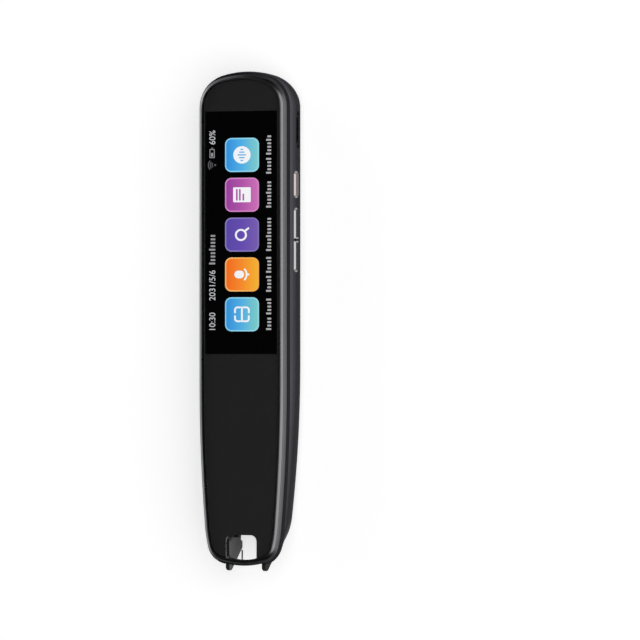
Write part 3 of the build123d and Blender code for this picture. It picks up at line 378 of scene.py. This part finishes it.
# The plain finishes: colour, roughness and grain, and what else sets one apart
seam_black = surface("seam_black", "2c2c2d", 0.5, 0.15 * MM, bump=MOULD_BUMP, Specular_IOR_Level=0.1)
tub_grey = surface("tub_grey", "5a5a5b", 0.55, 0.15 * MM, bump=MOULD_BUMP)
port_metal = surface("port_metal", "3c3c3e", 0.4, 0.1 * MM, Metallic=1.0)
inner_black = surface("inner_black", "121213", 0.5, 0.15 * MM, bump=MOULD_BUMP)
display_black = surface("display_black", "030304", 0.3, 0.1 * MM, Specular_IOR_Level=0.0)
sheet_metal = surface("sheet_metal", "b8babc", 0.35, 0.3 * MM, stretch=(1, 8, 1), Metallic=1.0)
board_green = surface("board_green", "1d4a35", 0.4, 0.6 * MM, change=0.2)
cable_amber = surface("cable_amber", "9a6330", 0.4, 0.5 * MM)
chip_black = surface("chip_black", "1d1d1f", 0.55, 0.1 * MM, bump=MOULD_BUMP)
pouch_foil = surface("pouch_foil", "b9bbc0", 0.35, 1.0 * MM, bump=0.02 * MM, Metallic=0.9)
adhesive_black = surface("adhesive_black", "101011", 0.8, 0.1 * MM)
lamp_resin = surface("lamp_resin", "d8cc8a", 0.3, 0.4 * MM)
guide_grey = surface("guide_grey", "6a6a6c", 0.35, 0.2 * MM)
mesh_cloth = surface("mesh_cloth", "0c0c0c", 0.9, 0.08 * MM, change=0.5, bump=0.02 * MM)
screw_steel = surface("screw_steel", "9a9a9c", 0.3, 0.2 * MM, Metallic=1.0)
magnet_steel = surface("magnet_steel", "8e9094", 0.3, 0.3 * MM, Metallic=1.0)

cover_clear = clear_pane("cover_clear", (0.995, 0.995, 0.995), 0.02)
window_smoke = clear_pane("window_smoke", (0.35, 0.35, 0.36), 0.06)
lens_clear = clear_pane("lens_clear", (0.6, 0.65, 0.85), 0.02)

NODE_MATERIALS = {
    cover_clear: ["cover_glass"],
    glass_print: ["glass_mask"],
    adhesive_black: ["glass_adhesive", "battery_tape", "speaker_gasket"],
    trim_metal: ["glass_bezel"],
    frame_metal: ["side_frame"],
    inner_black: [
        "usb_tongue", "speaker_frame", "camera_holder", "lens_barrel",
        "power_switch_plunger", "volume_up_switch_plunger", "volume_down_switch_plunger",
        "fork_switch_plunger", "speaker_cone",
    ],
    seam_black: ["mid_frame"],
    tub_grey: ["scan_bezel"],
    port_metal: ["usb_port"],
    display_black: ["display_panel"],
    sheet_metal: [
        "backlight_unit", "shield_can", "key_bracket", "key_switches", "fork_switch", "microphones",
    ],
    cable_amber: ["display_flex", "key_flex", "camera_flex", "antenna", "battery_lead"],
    shell_paint: ["rear_shell"],
    key_rose: ["power_key"],
    key_silver: ["volume_up_key", "volume_down_key"],
    board_green: ["main_board", "light_board", "camera_board", "scan_board"],
    screw_steel: ["board_screws"],
    chip_black: ["main_chips", "image_sensor"],
    pouch_foil: ["battery"],
    magnet_steel: ["speaker_magnet"],
    mesh_cloth: ["speaker_mesh"],
    window_smoke: ["scan_window"],
    guide_grey: ["light_guide"],
    lamp_resin: ["scan_leds"],
    lens_clear: ["camera_lens"],
    fork_black: ["scan_fork"],
}

for material, names in NODE_MATERIALS.items():
    for name in names:
        nodes[name].data.materials.clear()
        nodes[name].data.materials.append(material)


def add_print_layer():
    """The print a hair below the glass, so that a ray never meets both faces at one level."""
    mesh = nodes["glass_mask"].data.copy()
    mesh.name = "print_layer"
    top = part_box("glass_mask")[1].z - PRINT_DROP
    for vertex in mesh.vertices:
        vertex.co.z = min(vertex.co.z, top)
    layer = bpy.data.objects.new("print_layer", mesh)
    scene.collection.objects.link(layer)
    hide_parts("glass_mask")
    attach(layer, "casing")


add_print_layer()

# The lit screen. Its picture lies on its side: it reads along +Y, and its upper edge is at -X. A place
# in it is (along, up) from the middle of the lit area, in the photograph's scale. The photograph shows
# the picture undistorted at 30 degrees, so it is stretched upwards on the screen itself.
SCREEN_MIDDLE_Y = (SCREEN_TOP_Y + SCREEN_FOOT_Y) / 2
SCREEN_LEVEL = DISPLAY_HIGH.z
UP_STRETCH = 1.0 / math.cos(VIEW_TURN)
LAYER = 0.03 * MM

# The tiles: their side, corner radius and rim, from one to the next, and how far along the first lies
TILE_SIDE = 10.05 * MM
TILE_CORNER = 1.9 * MM
TILE_RIM = 0.38 * MM
TILE_PITCH = 11.75 * MM
FIRST_TILE = -24.1 * MM

# A label: its foot and height, its blocks, the gap between groups of them, and the taller ones
LABEL_FOOT = -8.62 * MM
LABEL_HEIGHT = 1.1 * MM
BLOCK_PITCH = 1.02 * MM
BLOCK_WIDTH = 0.54 * MM
GROUP_GAP = 0.5 * MM
TALL_BLOCKS = (0, 4)
TALL_TIMES = 1.35

# The status row: how far up it lies, its height, and how far along each of its items lies
STATUS_UP = 8.9 * MM
STATUS_HEIGHT = 1.85 * MM
STATUS_FOOT = STATUS_UP - STATUS_HEIGHT / 2
CLOCK_ALONG = -29.2 * MM
DATE_ALONG = -20.1 * MM
DAY_ALONG = -5.0 * MM
SIGNAL_ALONG = 20.0 * MM
BATTERY_ALONG = 23.4 * MM
CHARGE_ALONG = 26.0 * MM
DAY_BLOCKS = 9
DAY_HEIGHT = 1.35 * MM
TYPE_SIZE_TIMES = 1.38

# How finely round outlines are drawn, and the four corners: where each begins, and its two signs
CORNER_STEPS = 8
BAND_STEPS = 24
DISC_SIDES = 48
CORNERS = ((0, 1, 1), (90, -1, 1), (180, -1, -1), (270, 1, -1))


def glow(name, colours):
    """A lit part of the picture, whose colour runs across the pen from its upper to its lower edge."""
    n = Nodes(name)
    reach = TILE_SIDE / 2 * UP_STRETCH
    ramp = n.add("ShaderNodeValToRGB")
    n.link(n.spread(n.split_axes(n.coords)["X"], 0.0, 1.0, -reach, reach), ramp.inputs["Fac"])
    stops = ramp.color_ramp.elements
    stops[0].color = (*srgb(colours[0]), 1.0)
    stops[1].color = (*srgb(colours[-1]), 1.0)
    if len(colours) == 3:
        stops.new(0.5).color = (*srgb(colours[1]), 1.0)
    shader = n.principled(Base_Color=BLACK, Roughness=0.4, Specular_IOR_Level=0.0, Emission_Strength=1.0)
    n.link(ramp.outputs["Color"], shader.inputs["Emission Color"])
    return n.finish(shader.outputs["BSDF"])


def turned(middle, radius, angle):
    return (middle[0] + radius * math.cos(angle), middle[1] + radius * math.sin(angle))


def arc(middle, radius, begin, end, steps):
    """Points on an arc between two angles in degrees."""
    angles = [math.radians(begin + (end - begin) * i / steps) for i in range(steps + 1)]
    return [turned(middle, radius, a) for a in angles]


def rounded(width, height, corner, middle):
    """A rounded rectangle."""
    x, y = width / 2 - corner, height / 2 - corner
    points = []
    for begin, sx, sy in CORNERS:
        points += arc((middle[0] + sx * x, middle[1] + sy * y), corner, begin, begin + 90, CORNER_STEPS)
    return points


def disc(radius, middle):
    return arc(middle, radius, 0, 360 * (DISC_SIDES - 1) / DISC_SIDES, DISC_SIDES - 1)


def bar(start, end, width):
    """A round-ended bar between two points."""
    way = math.degrees(math.atan2(end[1] - start[1], end[0] - start[0]))
    head = arc(end, width / 2, way - 90, way + 90, CORNER_STEPS)
    return head + arc(start, width / 2, way + 90, way + 270, CORNER_STEPS)


def band(middle, radius, width, begin, end):
    """A curved band between two angles in degrees."""
    outer = arc(middle, radius + width / 2, begin, end, BAND_STEPS)
    inner = arc(middle, radius - width / 2, begin, end, BAND_STEPS)
    return outer + inner[::-1]


def place_on_screen(name, mesh, material):
    mesh.materials.clear()
    mesh.materials.append(material)
    piece = bpy.data.objects.new(name, mesh)
    scene.collection.objects.link(piece)
    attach(piece, "casing")


def add_flat_piece(name, outlines, layer, material):
    """Thin closed plates on the display, one for each outline."""
    mesh = bpy.data.meshes.new(name)
    form = bmesh.new()
    low = SCREEN_LEVEL + layer * LAYER
    for outline in outlines:
        spots = [(-up * UP_STRETCH, SCREEN_MIDDLE_Y + along) for along, up in outline]
        foot = [form.verts.new((x, y, low)) for x, y in spots]
        head = [form.verts.new((x, y, low + LAYER)) for x, y in spots]
        form.faces.new(head)
        form.faces.new(foot[::-1])
        for i in range(len(spots)):
            j = (i + 1) % len(spots)
            form.faces.new((foot[i], foot[j], head[j], head[i]))
    bmesh.ops.recalc_face_normals(form, faces=form.faces)
    form.to_mesh(mesh)
    form.free()
    place_on_screen(name, mesh, material)


# Each symbol is the outlines of its white shapes, and those of the lines over them, which have the
# colours of the tile

def sound_symbol(x):
    """A disc with five sound bars on it."""
    radius, pitch, width = 2.56 * MM, 0.81 * MM, 0.36 * MM
    bars = []
    for i, height in enumerate((0.5, 1.3, 2.2, 1.3, 0.5)):
        along = x + (i - 2) * pitch
        bars.append(bar((along, -height / 2 * MM), (along, height / 2 * MM), width))
    return [disc(radius, (x, 0.0))], bars


def page_symbol(x):
    """A page with three lines on it."""
    width, height, corner = 4.4 * MM, 5.2 * MM, 0.25 * MM
    start, line_width = x - 1.5 * MM, 0.48 * MM
    lines = []
    for up, length in ((1.5, 3.0), (0.6, 3.0), (-0.44, 1.6)):
        lines.append(bar((start, up * MM), (start + length * MM, up * MM), line_width))
    return [rounded(width, height, corner, (x, 0.0))], lines


def find_symbol(x):
    """A magnifier: a ring in two halves, and its handle."""
    middle = (x - 0.1 * MM, 0.3 * MM)
    radius, width = 1.5 * MM, 0.55 * MM
    ring = [band(middle, radius, width, begin, begin + 180) for begin in (0, 180)]
    handle = bar((x + 1.0 * MM, -0.8 * MM), (x + 1.85 * MM, -1.9 * MM), width)
    return ring + [handle], []


def voice_symbol(x):
    """A microphone over its bracket."""
    head_width, stem_width = 2.3 * MM, 0.55 * MM
    bracket_radius, bracket_width = 2.2 * MM, 0.5 * MM
    head = bar((x, 1.1 * MM), (x, 0.5 * MM), head_width)
    bracket = band((x, 0.8 * MM), bracket_radius, bracket_width, 222, 318)
    stem = bar((x, -1.5 * MM), (x, -1.95 * MM), stem_width)
    return [head, bracket, stem], []


def scan_symbol(x):
    """Four corner brackets round a level line."""
    reach, corner, arm, width = 2.05 * MM, 0.75 * MM, 1.5 * MM, 0.52 * MM
    marks = [bar((x - reach, 0.0), (x + reach, 0.0), width)]
    for begin, sx, sy in CORNERS:
        middle = (x + sx * (reach - corner), sy * (reach - corner))
        marks.append(band(middle, corner, width, begin, begin + 90))
        marks.append(bar((x + sx * reach, middle[1]), (x + sx * reach, sy * (reach - arm)), width))
        marks.append(bar((middle[0], sy * reach), (x + sx * (reach - arm), sy * reach), width))
    return marks, []


# Each tile: its symbol, its colours from the upper to the lower edge, those of its rim, and the
# numbers of blocks in the groups of its label
TILES = (
    ("scan", scan_symbol, ("318fdc", "55b2e6", "80d2c6"), ("86d2f2", "9adcee"), (4, 5)),
    ("voice", voice_symbol, ("f56922", "fa8e2e", "f8b834"), ("fdc070", "f6ae50"), (5, 5)),
    ("find", find_symbol, ("5a48a6", "664eb2", "7a60b2"), ("8d80c0", "8274ba"), (10,)),
    ("page", page_symbol, ("98409e", "b456aa", "d074bc"), ("d888cc", "d888c8"), (8,)),
    ("sound", sound_symbol, ("2f8ee0", "52b2ea", "84d2cc"), ("86d4f6", "98deee"), (5, 6)),
)


def block_row(middle, foot, groups, height):
    """A row of small plain blocks, in groups."""
    total = sum(groups) * BLOCK_PITCH + (len(groups) - 1) * GROUP_GAP
    along = middle - total / 2 + BLOCK_PITCH / 2
    blocks = []
    for count in groups:
        for i in range(count):
            tall = height * (TALL_TIMES if i in TALL_BLOCKS else 1.0)
            spot = (along + i * BLOCK_PITCH, foot + tall / 2)
            blocks.append(rounded(BLOCK_WIDTH, tall, BLOCK_WIDTH / 4, spot))
        along += count * BLOCK_PITCH + GROUP_GAP
    return blocks


def add_tiles():
    """Five rounded tiles, each with a lighter rim, a symbol and a label in plain blocks."""
    white = glow("screen_white", ("f2f6fc", "fcfafc"))
    grey = glow("screen_label", ("a6a6aa", "b0b0b2"))
    inner = TILE_SIDE - 2 * TILE_RIM
    for i, (name, symbol, colours, rim_colours, groups) in enumerate(TILES):
        x = FIRST_TILE + i * TILE_PITCH
        face = glow(f"tile_{name}", colours)
        outline = rounded(TILE_SIDE, TILE_SIDE, TILE_CORNER, (x, 0.0))
        add_flat_piece(f"tile_rim_{name}", [outline], 0, glow(f"tile_rim_{name}", rim_colours))
        outline = rounded(inner, inner, TILE_CORNER - TILE_RIM, (x, 0.0))
        add_flat_piece(f"tile_face_{name}", [outline], 1, face)
        shapes, lines = symbol(x)
        add_flat_piece(f"symbol_{name}", shapes, 2, white)
        if lines:
            add_flat_piece(f"symbol_lines_{name}", lines, 3, face)
        add_flat_piece(f"label_{name}", block_row(x, LABEL_FOOT, groups, LABEL_HEIGHT), 0, grey)


def add_digits(name, text, along, material):
    """Plain numbers in Blender's own type, from this place along the status row."""
    curve = bpy.data.curves.new(name, "FONT")
    curve.body = text
    curve.size = STATUS_HEIGHT * TYPE_SIZE_TIMES
    curve.extrude = LAYER / 2
    holder = bpy.data.objects.new(name, curve)
    scene.collection.objects.link(holder)
    bpy.context.view_layer.update()
    shown = holder.evaluated_get(bpy.context.evaluated_depsgraph_get())
    mesh = bpy.data.meshes.new_from_object(shown)
    bpy.data.objects.remove(holder)
    lie = Matrix.Rotation(math.pi / 2, 4, "Z")
    stretch = Matrix.Diagonal((UP_STRETCH, 1.0, 1.0, 1.0))
    corner = (-STATUS_FOOT * UP_STRETCH, SCREEN_MIDDLE_Y + along, SCREEN_LEVEL + LAYER / 2)
    mesh.transform(Matrix.Translation(corner) @ stretch @ lie)
    place_on_screen(name, mesh, material)


def signal_outlines():
    """Three arcs over a dot."""
    foot = (SIGNAL_ALONG, STATUS_UP - 0.9 * MM)
    width, dot_radius = 0.28 * MM, 0.3 * MM
    arcs = [band(foot, radius * MM, width, 50, 130) for radius in (0.9, 1.45, 2.0)]
    return arcs + [disc(dot_radius, foot)]


def battery_outlines():
    """The four walls of a battery, its charge and its cap."""
    x, up = BATTERY_ALONG, STATUS_UP
    width, reach, high, cap_high = 0.2 * MM, 1.2 * MM, 0.65 * MM, 0.2 * MM
    walls = []
    for s in (-1, 1):
        walls.append(bar((x - reach, up + s * high), (x + reach, up + s * high), width))
        walls.append(bar((x + s * reach, up - high), (x + s * reach, up + high), width))
    charge = rounded(1.1 * MM, 0.6 * MM, 0.1 * MM, (x - 0.35 * MM, up))
    cap_x = x + 1.6 * MM
    return walls + [charge, bar((cap_x, up - cap_high), (cap_x, up + cap_high), width)]


def add_status_row():
    """A clock, a date with a row of blocks, a signal fan, and a battery with its charge."""
    bright = glow("status_white", ("c6c8cc", "d0d0d2"))
    faint = glow("status_grey", ("5c5c60", "66666a"))
    soft = glow("status_soft", ("98989c", "a0a0a2"))
    add_digits("status_clock", "10:30", CLOCK_ALONG, bright)
    add_digits("status_date", "2031/5/6", DATE_ALONG, bright)
    day = block_row(DAY_ALONG, STATUS_FOOT, (DAY_BLOCKS,), DAY_HEIGHT)
    add_flat_piece("status_day_blocks", day, 0, soft)
    add_flat_piece("status_signal", signal_outlines(), 0, faint)
    add_flat_piece("status_battery", battery_outlines(), 0, soft)
    add_digits("status_charge", "60%", CHARGE_ALONG, bright)


add_tiles()
add_status_row()

# The floor: the radius of its flat part, that of its curve up to the wall, the wall's height, the steps
# of the curve and the sides all round, the patches in its grey, and how brightly it glows
FLOOR_FLAT = 2.6
FLOOR_CURVE = 0.4
WALL_HEIGHT = 0.55
CURVE_STEPS = 12
FLOOR_SIDES = 96
FLOOR_PATCH = 0.3
FLOOR_GLOW = 0.60

# The dim light that comes from all round
WORLD_GREY = 0.015

# Each lamp: its direction from the pen, its distance, its width and height, and its power in watts
SOFTBOXES = {
    "key_light": ((0.70, 0.0, 0.71), 1.4, (2.2, 1.7), 24.0),
    "side_light": ((-0.97, 0.0, 0.22), 1.5, (1.4, 0.5), 4.0),
    "fill_light": ((-0.86, 0.50, 0.24), 1.5, (1.4, 0.9), 6.5),
}


def floor_material():
    """Pale matt grey, brighter to the camera, in mirrors and through glass, and clear from below."""
    n = Nodes("studio_floor")
    diffuse = n.add("ShaderNodeBsdfDiffuse")
    grey = n.blend(n.noise(FLOOR_PATCH), (0.66, 0.66, 0.66), (0.68, 0.68, 0.68))
    n.link(grey, diffuse.inputs["Color"])
    rays = n.add("ShaderNodeLightPath").outputs
    seen = n.maths("MAXIMUM", rays["Is Camera Ray"], rays["Is Glossy Ray"])
    seen = n.maths("MAXIMUM", seen, rays["Is Transmission Ray"])
    shine = n.add("ShaderNodeEmission")
    n.link(n.product(seen, FLOOR_GLOW), shine.inputs["Strength"])
    lit = n.add("ShaderNodeAddShader")
    n.link(diffuse.outputs["BSDF"], lit.inputs[0])
    n.link(shine.outputs["Emission"], lit.inputs[1])
    clear = n.add("ShaderNodeBsdfTransparent")
    underside = n.add("ShaderNodeNewGeometry").outputs["Backfacing"]
    return n.finish(n.mixed(underside, lit.outputs["Shader"], clear.outputs["BSDF"]))


def add_floor():
    """A pale round floor that curves up into a wall all round."""
    profile = [(0.0, 0.0), (FLOOR_FLAT, 0.0)]
    for i in range(1, CURVE_STEPS + 1):
        a = math.radians(90.0 * i / CURVE_STEPS)
        profile.append((FLOOR_FLAT + FLOOR_CURVE * math.sin(a), FLOOR_CURVE * (1 - math.cos(a))))
    profile.append((FLOOR_FLAT + FLOOR_CURVE, WALL_HEIGHT))
    turns = [2 * math.pi * k / FLOOR_SIDES for k in range(FLOOR_SIDES)]
    mesh = bpy.data.meshes.new("studio_floor")
    form = bmesh.new()
    rings = []
    for radius, height in profile:
        spots = [(radius * math.cos(t), radius * math.sin(t), height) for t in turns]
        rings.append([form.verts.new(spot) for spot in (spots if radius else spots[:1])])
    for inner, outer in zip(rings, rings[1:]):
        for k in range(FLOOR_SIDES):
            j = (k + 1) % FLOOR_SIDES
            if len(inner) == 1:
                form.faces.new((inner[0], outer[k], outer[j]))
            else:
                form.faces.new((inner[k], outer[k], outer[j], inner[j]))
    form.to_mesh(mesh)
    form.free()
    for face in mesh.polygons:
        face.use_smooth = True
    mesh.materials.append(floor_material())
    floor = bpy.data.objects.new("studio_floor", mesh)
    scene.collection.objects.link(floor)


def add_softbox(name, direction, distance, size, power):
    lamp = bpy.data.lights.new(name, "AREA")
    lamp.shape = "RECTANGLE"
    lamp.size, lamp.size_y = size
    lamp.energy = power
    holder = bpy.data.objects.new(name, lamp)
    way = Vector(direction).normalized()
    holder.location = way * distance
    holder.rotation_mode = "QUATERNION"
    holder.rotation_quaternion = way.to_track_quat("Z", "Y")
    scene.collection.objects.link(holder)


def add_world():
    world = bpy.data.worlds.new("studio")
    scene.world = world
    world.use_nodes = True
    background = world.node_tree.nodes["Background"]
    background.inputs["Color"].default_value = (WORLD_GREY, WORLD_GREY, WORLD_GREY, 1.0)
    background.inputs["Strength"].default_value = 1.0


def add_camera():
    """A long lens at the photograph's angle, so that the pen lies where the photograph has it."""
    back = Vector((math.sin(VIEW_TURN), 0.0, math.cos(VIEW_TURN)))
    right = Vector((math.cos(VIEW_TURN), 0.0, -math.sin(VIEW_TURN)))
    across = (IMAGE_PX / 2 - CENTRE_LINE_PX) * PIXEL_MM * MM
    up = (MIDDLE_PY - IMAGE_PX / 2) * PIXEL_MM * MM
    target = Vector((0.0, up, Z_FRONT)) + right * across
    lens = bpy.data.cameras.new("camera")
    lens.sensor_width = SENSOR_WIDTH
    lens.lens = SENSOR_WIDTH * CAMERA_DISTANCE / (IMAGE_PX * PIXEL_MM * MM)
    lens.clip_start = NEAREST
    lens.clip_end = FARTHEST
    camera = bpy.data.objects.new("camera", lens)
    camera.location = target + back * CAMERA_DISTANCE
    camera.rotation_mode = "QUATERNION"
    turn = Matrix((right, Vector((0.0, 1.0, 0.0)), back)).transposed()
    camera.rotation_quaternion = turn.to_quaternion()
    scene.collection.objects.link(camera)
    scene.camera = camera


add_floor()
add_world()
for lamp_name, lamp_values in SOFTBOXES.items():
    add_softbox(lamp_name, *lamp_values)
add_camera()
scene.view_settings.view_transform = "Standard"
